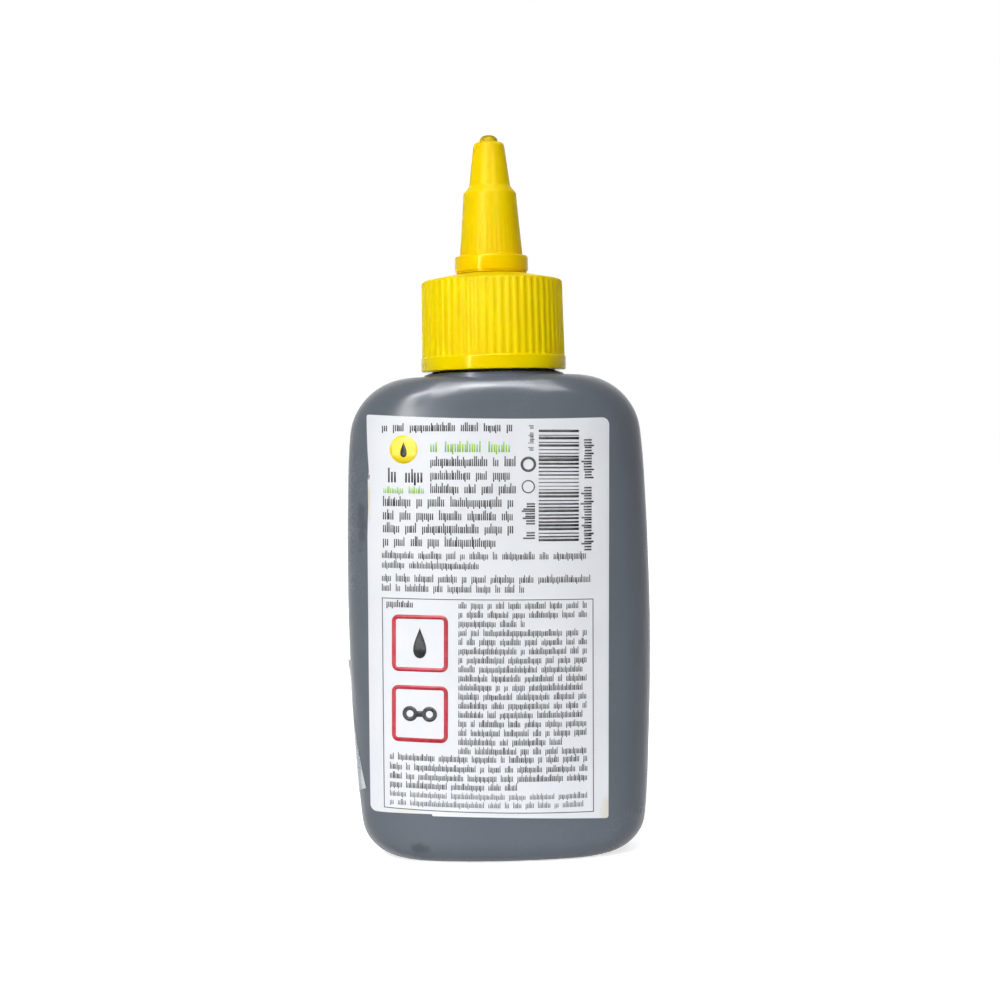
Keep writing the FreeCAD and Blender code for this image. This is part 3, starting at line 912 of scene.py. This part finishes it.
def printText():
    marks = makeMarks()
    rows = printRows()
    for ink, seed in printSeeds.items():
        name = "print" + ink.capitalize()
        mesh = bpy.data.meshes.new(name)
        chosen = [row[1:] for row in rows if row[0] == ink]
        mesh.from_pydata([fromLabelCorner(*row[:2]) for row in chosen], [], [])
        lefts, _, ends, heights, pitches, turns = zip(*chosen)
        hold(mesh, "run", [(end if turn else end - left) * mm for left, end, turn in zip(lefts, ends, turns)])
        hold(mesh, "tall", [v * mm for v in heights])
        hold(mesh, "pitch", [v * mm for v in pitches])
        hold(mesh, "turn", [float(v) for v in turns])
        piece = addPiece(name, mesh)
        runNodes(piece, greekLines, {"Sheet": paperLabel, "Mark A": marks[0], "Mark B": marks[1],
                                     "Mark C": marks[2], "Tilt": math.radians(labelSheet["tilt"]),
                                     "Seed": seed, "Finish": inks[ink]})
        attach(piece, "bottle")
        print(piece.name, len(piece.data.polygons), "faces")
    for mark in marks:
        bpy.data.objects.remove(mark)


printText()
print("small print laid")


# printed shapes: frame, roundel, two picture boxes, bars

def frameOutlines(corners, line):
    # four thin lines between corners given from the upper left, clockwise
    inward = ((1, 1), (-1, 1), (-1, -1), (1, -1))
    inner = [(x + line * sx, z + line * sz) for (x, z), (sx, sz) in zip(corners, inward)]
    return [[corners[j], corners[i], inner[i], inner[j]] for i, j in ((0, 1), (1, 2), (2, 3), (3, 0))]


def onCircle(x, z, radius, share):
    turn = 2 * math.pi * share
    return (x + radius * math.cos(turn), z + radius * math.sin(turn))


def ringOutlines(x, z, outer, inner, steps=32):
    return [[onCircle(x, z, radius, j / steps)
             for radius, j in ((inner, k + 1), (inner, k), (outer, k), (outer, k + 1))] for k in range(steps)]


def roundedSquare(half, corner, steps=6):
    points = []
    for sx, sz, start in ((1, -1, -90), (1, 1, 0), (-1, 1, 90), (-1, -1, 180)):
        for k in range(steps + 1):
            share = (start + 90 * k / steps) / 360
            points.append(onCircle(sx * (half - corner), sz * (half - corner), corner, share))
    return points


def roundFrameOutlines(x, z, half, corner, line):
    outer, inner = ([(x + px, z - pz) for px, pz in roundedSquare(half - cut, corner - cut)]
                    for cut in (0, line))
    return [[outer[i - 1], outer[i], inner[i], inner[i - 1]] for i in range(len(outer))]


def discOutline(x, z, radius, steps=40):
    return [onCircle(x, z, radius, -k / steps) for k in range(steps)]


dropShape = {"width": 0.62, "pinch": 1.6, "steps": 32}
linkShape = {"eye": 0.78, "hole": 0.36, "plateHalf": (0.28, 0.3)}


def dropOutline(x, z, size):
    # a round drop with its point up
    points = []
    for k in range(dropShape["steps"]):
        turn = 2 * math.pi * k / dropShape["steps"]
        pinch = math.sin(turn / 2) ** dropShape["pinch"]
        points.append((x - size * dropShape["width"] * math.sin(turn) * pinch, z - size * math.cos(turn)))
    return points


def linkOutlines(x, z, size):
    # one chain link: two eyes and the plate between them
    rows = []
    for side in (-1, 1):
        rows += ringOutlines(x + side * size, z, size * linkShape["eye"], size * linkShape["hole"])
    halfX, halfZ = (size * v for v in linkShape["plateHalf"])
    return rows + [boxOutline(x - halfX, z + halfZ, x + halfX, z - halfZ)]


textFrame = {"corners": [(2.9, 35.3), (44.0, 35.3), (44.2, 76.75), (3.3, 76.4)], "line": 0.17}
pictureBoxes = {"x": 10.4, "half": 5.5, "corner": 1.3, "line": 0.8}
inkLift = {"black": 0.026}  # black lies over the yellow disc, the rest on the paper
paperLift = 0.01
printedShapes = {
    "yellow": [discOutline(7.2, 6.5, 2.75)],
    "black": [dropOutline(7.2, 6.5, 1.5), dropOutline(10.4, 43.9, 3.0)] + linkOutlines(10.4, 57.7, 1.9),
    "red": [row for z in (44.0, 57.7) for row in roundFrameOutlines(z=z, **pictureBoxes)],
    "body": (frameOutlines(**textFrame) + ringOutlines(31.3, 9.3, 1.5, 1.0)
             + ringOutlines(31.3, 13.6, 1.3, 1.05)),
}


def printShapes():
    for ink, outlines in printedShapes.items():
        bm = slicedSheet(outlines, *labelSheet["slices"])
        for v in bm.verts:
            v.co = Vector(fromLabelCorner(v.co.x, v.co.z)) / mm
        turnFaces(bm, 1)
        name = "shapes" + ink.capitalize()
        piece = addPiece(name, fromBmesh(name, bm))
        runNodes(piece, drapeInk, {"Sheet": paperLabel, "Lift": inkLift.get(ink, paperLift) * mm,
                                   "Finish": inks[ink]})
        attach(piece, "bottle")


def makeBarsTree():
    tree, given, out = startGeometry("barStack", [
        ("Sheet", "Object"), ("Strip", "Object"), ("Count", "Int"), ("Pitch", "Float"), ("Width", "Float"),
        ("Least", "Float", 0.16), ("Most", "Float", 0.86), ("Tilt", "Float"), ("Seed", "Int")])
    tilt = given["Tilt"]
    down = calc(tree, "MULTIPLY", given["Pitch"], -1.0)
    stack = copiedRow(tree, given, given["Count"], down, calc(tree, "SINE", tilt),
                      calc(tree, "COSINE", tilt))[0]
    thick = put(tree, "FunctionNodeRandomValue", {2: given["Least"], 3: given["Most"], "Seed": given["Seed"]},
                data_type="FLOAT")
    high = calc(tree, "MULTIPLY", thick.outputs[1], given["Pitch"])
    strip = put(tree, "GeometryNodeObjectInfo", {"Object": given["Strip"]}).outputs["Geometry"]
    bars = put(tree, "GeometryNodeInstanceOnPoints", {
        "Points": stack, "Instance": strip, "Rotation": vectorOf(tree, y=tilt),
        "Scale": vectorOf(tree, given["Width"], 1.0, high)})
    return endInked(tree, given, out, bars)


barBlock = {"left": 33.3, "top": 3.1, "width": 7.8, "pitch": 0.7, "count": 31, "seed": 4, "cuts": 8}


def printBars():
    b = barBlock
    strip = flatMark("markStrip", [(k / b["cuts"], 0, (k + 1) / b["cuts"], 1) for k in range(b["cuts"])])
    mesh = bpy.data.meshes.new("printBars")
    mesh.from_pydata([fromLabelCorner(b["left"], b["top"])], [], [])
    piece = addPiece("printBars", mesh)
    runNodes(piece, makeBarsTree(), {"Sheet": paperLabel, "Strip": strip, "Count": b["count"],
                                     "Pitch": b["pitch"] * mm, "Width": b["width"] * mm,
                                     "Tilt": math.radians(labelSheet["tilt"]), "Seed": b["seed"],
                                     "Finish": inks["black"]})
    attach(piece, "bottle")
    bpy.data.objects.remove(strip)


printShapes()
printBars()
print("printed shapes laid")


# scrap of clear tape on the left flank

tapeStrip = {"width": 13.0, "length": 26.0, "tilt": 15.0, "middleZ": 25.0, "proud": 0.15, "ripple": 0.02,
             "thickness": 0.06, "lift": 0.5, "looseFrom": 0.32, "looseSpan": 0.18, "slices": (0.8, 1.3),
             "film": srgb(178, 190, 196), "streak": srgb(226, 232, 232), "grain": (160.0, 1500.0),
             "streakScale": 420.0, "streakStretch": (1, 1, 0.12), "streakEdge": (0.5, 0.75),
             "streakAlpha": 0.5, "alpha": (0.2, 0.4), "roughness": 0.18, "bump": 0.35, "bumpDepth": 0.15}


def tapeFinish():
    t = tapeStrip
    finish, tree, skin, where = startFinish("tapeFilm")
    turn = put(tree, "ShaderNodeMapping", {"Vector": where, "Rotation": (math.radians(t["tilt"]), 0, 0),
                                           "Scale": t["streakStretch"]})
    noise = noiseOf(tree, turn, t["streakScale"], 4.0)
    clouds = grained(tree, where, *t["grain"])["Cloud"]
    mask = ranged(tree, noise, *t["streakEdge"])
    alpha = calc(tree, "MULTIPLY_ADD", mask, t["streakAlpha"], spread(tree, clouds, *t["alpha"]))
    fill(tree, skin, {"Base Color": blendColour(tree, mask, t["film"], t["streak"]), "Alpha": alpha,
                      "Roughness": t["roughness"]})
    bumped(tree, skin, noise, t["bump"], t["bumpDepth"])
    return finish


def makeTape():
    t = tapeStrip
    low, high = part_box("clear_tape")
    midY = (low[1] + high[1]) / 2 / mm
    lean = math.radians(-t["tilt"])
    halfX, halfZ = t["width"] / 2, t["length"] / 2
    bm = slicedSheet([boxOutline(-halfX, -halfZ, halfX, halfZ)], *t["slices"])
    wobble = random.Random(5)
    for v in bm.verts:
        across, up = v.co.x, v.co.z
        y = midY + across * math.cos(lean) - up * math.sin(lean)
        z = t["middleZ"] + across * math.sin(lean) + up * math.cos(lean)
        loose = max(0, (up / t["length"] - t["looseFrom"]) / t["looseSpan"]) ** 2
        proud = t["proud"] + t["ripple"] * wobble.random()
        proud += t["lift"] * loose * (0.5 - across / t["width"])
        v.co = (leftAt(y, z, proud), y, z)
    turnFaces(bm, 0)
    tape = thicken(fromBmesh("clearTape", bm), t["thickness"], "clearTape")
    tape.data.materials.append(tapeFinish())
    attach(tape, "bottle")
    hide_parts("clear_tape")


makeTape()
print("tape stuck on")


# floor, light and camera

stageLook = {"floor": (0.88, 0.88, 0.88, 1), "floorHalf": 6, "roughness": 0.9, "white": (1, 1, 1, 1),
             "glowNear": 0.72, "glowFar": 1.0, "near": 0.06, "far": 0.26, "world": 0.08}


def seenWhite(tree):
    # 1 for what the camera, gloss or clear film sees, 0 for the light on surfaces
    path = tree.nodes.new("ShaderNodeLightPath").outputs
    clear = calc(tree, "MAXIMUM", path["Is Glossy Ray"], path["Is Transmission Ray"])
    return calc(tree, "MAXIMUM", path["Is Camera Ray"], clear)


def makeStage():
    look = stageLook
    bm = bmesh.new()
    bmesh.ops.create_grid(bm, x_segments=4, y_segments=4, size=look["floorHalf"])
    floor = addPiece("studioFloor", fromBmesh("studioFloor", bm, 1.0))
    finish, tree, skin, where = startFinish("floorPale")
    glow = ranged(tree, lengthOf(tree, where), look["near"], look["far"], look["glowNear"], look["glowFar"])
    fill(tree, skin, {"Base Color": look["floor"], "Roughness": look["roughness"], "Specular IOR Level": 0.0,
                      "Emission Color": look["white"],
                      "Emission Strength": calc(tree, "MULTIPLY", seenWhite(tree), glow)})
    floor.data.materials.append(finish)

    world = bpy.data.worlds.new("studioRoom")
    scene.world = world
    world.use_nodes = True
    tree = world.node_tree
    tree.nodes.clear()
    strength = calc(tree, "MULTIPLY_ADD", seenWhite(tree), 1.0 - look["world"], look["world"])
    glow = put(tree, "ShaderNodeBackground", {"Color": look["white"], "Strength": strength})
    put(tree, "ShaderNodeOutputWorld", {"Surface": glow})


# name, place, aimed at, width, height, direction of the width, watts, degrees of spread; the soft ones
# light surfaces, the strips only show in gloss, and softLow is a low card that only reaches the foot
lamps = [
    ("softKey", (-0.37, -0.89, 0.8), (0, 0, 0.075), 0.8, 0.8, (1, 0, 0), 12.4, 180),
    ("softTop", (0, -0.1, 0.95), (0, 0, 0.1), 0.5, 0.5, (1, 0, 0), 0.8, 180),
    ("softBack", (0.0, 1.15, 0.7), (0, 0, 0.07), 0.9, 0.9, (-1, 0, 0), 7.0, 180),
    ("softLow", (-0.12, -0.7, 0.06), (0, 0, -0.12), 0.4, 0.12, (1, 0, 0), 0.17, 30),
    ("stripLeft", (-0.75, -0.93, 0.3), (0, 0, 0.08), 0.05, 0.6, (1, -0.8, 0), 30.0, 180),
    ("stripOver", (0, -0.34, 0.75), (0, 0, 0.09), 0.4, 0.45, (1, 0, 0), 24.0, 180),
    ("stripRise", (-0.23, -0.555, 0.55), (0, 0, 0.09), 0.78, 0.15, (0.53, 0.42, 0.74), 36.0, 180),
    ("stripFall", (0.25, -0.56, 0.53), (0, 0, 0.09), 0.5, 0.14, (0.4, -0.37, -0.86), 14.0, 180),
]


def makeLamps():
    for name, place, aim, width, height, along, watts, spreadAngle in lamps:
        lamp = bpy.data.lights.new(name, "AREA")
        lamp.shape = "RECTANGLE"
        lamp.size, lamp.size_y, lamp.energy = width, height, watts
        lamp.spread = math.radians(spreadAngle)
        holder = bpy.data.objects.new(name, lamp)
        back = (Vector(place) - Vector(aim)).normalized()
        up = back.cross(Vector(along)).normalized()
        turn = Matrix((up.cross(back), up, back)).transposed()
        holder.matrix_world = Matrix.Translation(place) @ turn.to_4x4()
        holder.visible_glossy = name.startswith("strip")
        holder.visible_diffuse = not holder.visible_glossy
        scene.collection.objects.link(holder)


cameraSet = {"place": (0.00066, -0.4, 0.07988), "lens": 72.09, "sensor": 36, "near": 0.01, "down": 1.389,
             "roll": 1.301}


def makeCamera():
    view = bpy.data.cameras.new("photoCamera")
    view.sensor_width, view.lens, view.clip_start = (cameraSet[key] for key in ("sensor", "lens", "near"))
    holder = bpy.data.objects.new("photoCamera", view)
    upright = Matrix.Rotation(math.radians(90 - cameraSet["down"]), 4, "X")
    rolled = Matrix.Rotation(math.radians(-cameraSet["roll"]), 4, "Z")
    holder.matrix_world = Matrix.Translation(cameraSet["place"]) @ upright @ rolled
    scene.collection.objects.link(holder)
    scene.camera = holder


makeStage()
makeLamps()
makeCamera()
print("stage set")
